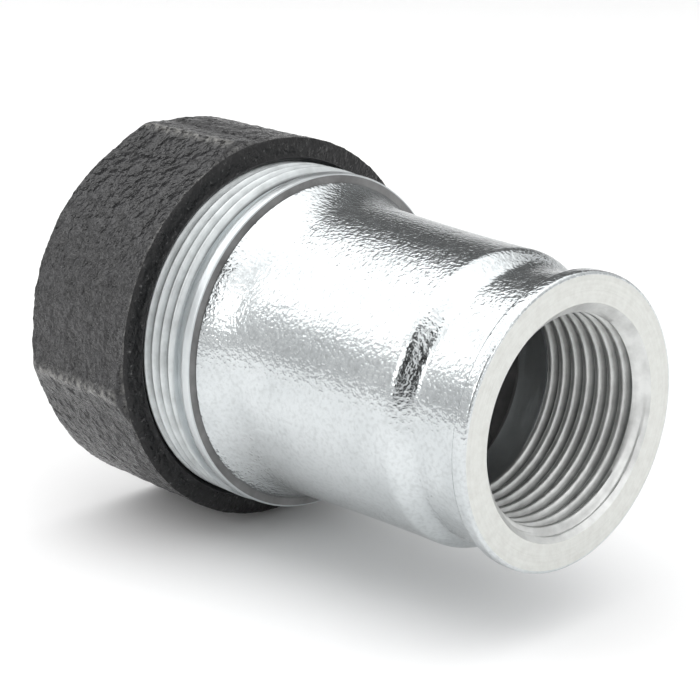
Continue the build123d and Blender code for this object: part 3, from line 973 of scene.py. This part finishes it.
class COUPLING_OT_gasket(bpy.types.Operator):
    """Build the rubber wedge ring"""

    bl_idname = "coupling.gasket"
    bl_label = "Gasket"

    def execute(self, context):
        b = context.scene.body_sizes
        throat = b.length - SEAT_LENGTH
        front = throat + GASKET_EASE
        rear = b.length + GASKET_OUT
        outer_r = b.male_root_r - SEAT_WALL - 2 * GASKET_EASE
        lip_r = GASKET_BORE_R + GASKET_LIP
        o = Outline()
        o.add(front, GASKET_BORE_R, "seal_rubber")
        o.run((front, GUIDE_R + SEAT_STEP - 2 * GASKET_EASE), 0.5 * MM, "seal_rubber")
        o.run((b.length, outer_r), GASKET_GRID, "seal_rubber")
        o.run((rear - GASKET_EDGE, outer_r), GASKET_GRID, "seal_rubber")
        o.arc((rear - GASKET_EDGE, outer_r - GASKET_EDGE), GASKET_EDGE, 90, 0, 8, "seal_rubber")
        o.run((rear, lip_r), GASKET_GRID, "seal_rubber")
        o.arc((rear - GASKET_LIP, lip_r), GASKET_LIP, 0, -90, 4, "seal_rubber")
        o.run((front, GASKET_BORE_R), GASKET_GRID, "seal_rubber", include_end=False)
        materials = {"seal_rubber": seal_rubber(context.scene.finishes)}
        piece = turned_piece("wedge_gasket", o, materials, STEPS_ROUND_GASKET)
        finish_piece(piece, "fitting", "seal_rubber", "gasket")
        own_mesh(piece)
        return {"FINISHED"}


class COUPLING_OT_rings(bpy.types.Operator):
    """Give the pressure ring and the clamp ring their plated finish"""

    bl_idname = "coupling.rings"
    bl_label = "Steel rings"

    def execute(self, context):
        material = plated_steel()
        for name in ("pressure_ring", "clamp_ring"):
            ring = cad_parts[name]
            for slot in ring.material_slots:
                slot.material = material
        return {"FINISHED"}


class COUPLING_OT_stage(bpy.types.Operator):
    """Make the floor, the lights and the camera"""

    bl_idname = "coupling.stage"
    bl_label = "Stage"

    def execute(self, context):
        deselect_everything()
        floor_z = CAD_BOX[0][2] - FLOOR_GAP
        bpy.ops.mesh.primitive_plane_add(size=FLOOR_SIZE, location=(0, 0, floor_z))
        floor = context.object
        floor.name = "floor"
        material, nodes, links, shader = new_material("pale_floor")
        tone = object_noise(nodes, links, 3, 2, 0.5)
        colour = ramp(nodes, links, tone.outputs["Fac"], [(0.3, grey(0.9)), (0.7, grey(0.93))])
        links.new(colour.outputs["Color"], shader.inputs["Base Color"])
        shader.inputs["Roughness"].default_value = 0.9
        floor.data.materials.append(material)
        world = bpy.data.worlds.new("studio")
        world.use_nodes = True
        nodes, links = world.node_tree.nodes, world.node_tree.links
        heading = nodes.new("ShaderNodeTexCoord")
        split = nodes.new("ShaderNodeSeparateXYZ")
        links.new(heading.outputs["Generated"], split.inputs["Vector"])
        sky = ramp(nodes, links, split.outputs["Z"],
                   [(0.0, grey(0.33)), (0.62, grey(0.45)), (0.95, grey(1.0))])
        links.new(sky.outputs["Color"], nodes["Background"].inputs["Color"])
        nodes["Background"].inputs["Strength"].default_value = SKY_STRENGTH
        context.scene.world = world
        for name, place, size, power in LIGHTS:
            bpy.ops.object.light_add(type="AREA", location=place)
            light = context.object
            light.name = name
            light.data.shape = "RECTANGLE"
            light.data.size, light.data.size_y = size
            light.data.energy = power
            light.rotation_mode = "QUATERNION"
            light.rotation_quaternion = (AIM - Vector(place)).to_track_quat("-Z", "Y")
        for name, place, size, shade in CARDS:
            deselect_everything()
            bpy.ops.mesh.primitive_plane_add(size=1, location=place)
            card = context.object
            card.name = name
            card.scale = (*size, 1)
            card.rotation_mode = "QUATERNION"
            card.rotation_quaternion = (AIM - Vector(place)).to_track_quat("Z", "Y")
            material, nodes, links, shader = new_material(name)
            shader.inputs["Base Color"].default_value = (*grey(shade), 1)
            shader.inputs["Roughness"].default_value = 1.0
            card.data.materials.append(material)
        bpy.ops.object.camera_add(location=CAMERA_PLACE)
        camera = context.object
        camera.name = "camera"
        camera.data.sensor_width = 36
        camera.data.lens = CAMERA_LENS
        camera.data.clip_start = 0.01
        camera.data.clip_end = 100
        camera.rotation_euler = (radians(90 - CAMERA_ELEVATION), 0, radians(CAMERA_AZIMUTH))
        context.scene.camera = camera
        context.scene.view_settings.view_transform = "Standard"
        return {"FINISHED"}


class COUPLING_PT_panel(bpy.types.Panel):
    """Lists the operators, and the sizes and colours that they use"""

    bl_label = "Compression coupling"
    bl_idname = "COUPLING_PT_panel"
    bl_space_type = "VIEW_3D"
    bl_region_type = "UI"
    bl_category = "Coupling"

    def draw(self, context):
        for operator in OPERATORS:
            self.layout.operator(operator.bl_idname)
        for label, group in (("Body", "body_sizes"), ("Nut", "nut_sizes"), ("Finishes", "finishes")):
            box = self.layout.box()
            box.label(text=label)
            settings = getattr(context.scene, group)
            for name in settings.__annotations__:
                box.prop(settings, name)


OPERATORS = [
    COUPLING_OT_fitting_body,
    COUPLING_OT_compression_nut,
    COUPLING_OT_gasket,
    COUPLING_OT_rings,
    COUPLING_OT_stage,
]
GROUPS = {"body_sizes": BodySizes, "nut_sizes": NutSizes, "finishes": Finishes}


def register():
    for name, group in GROUPS.items():
        bpy.utils.register_class(group)
        setattr(bpy.types.Scene, name, bpy.props.PointerProperty(type=group))
    for operator in OPERATORS:
        bpy.utils.register_class(operator)
    bpy.utils.register_class(COUPLING_PT_panel)


def unregister():
    bpy.utils.unregister_class(COUPLING_PT_panel)
    for operator in reversed(OPERATORS):
        bpy.utils.unregister_class(operator)
    for name, group in reversed(GROUPS.items()):
        delattr(bpy.types.Scene, name)
        bpy.utils.unregister_class(group)


def main():
    register()
    bpy.ops.coupling.fitting_body()
    bpy.ops.coupling.compression_nut()
    bpy.ops.coupling.gasket()
    bpy.ops.coupling.rings()
    bpy.ops.coupling.stage()


if __name__ == "__main__":
    main()
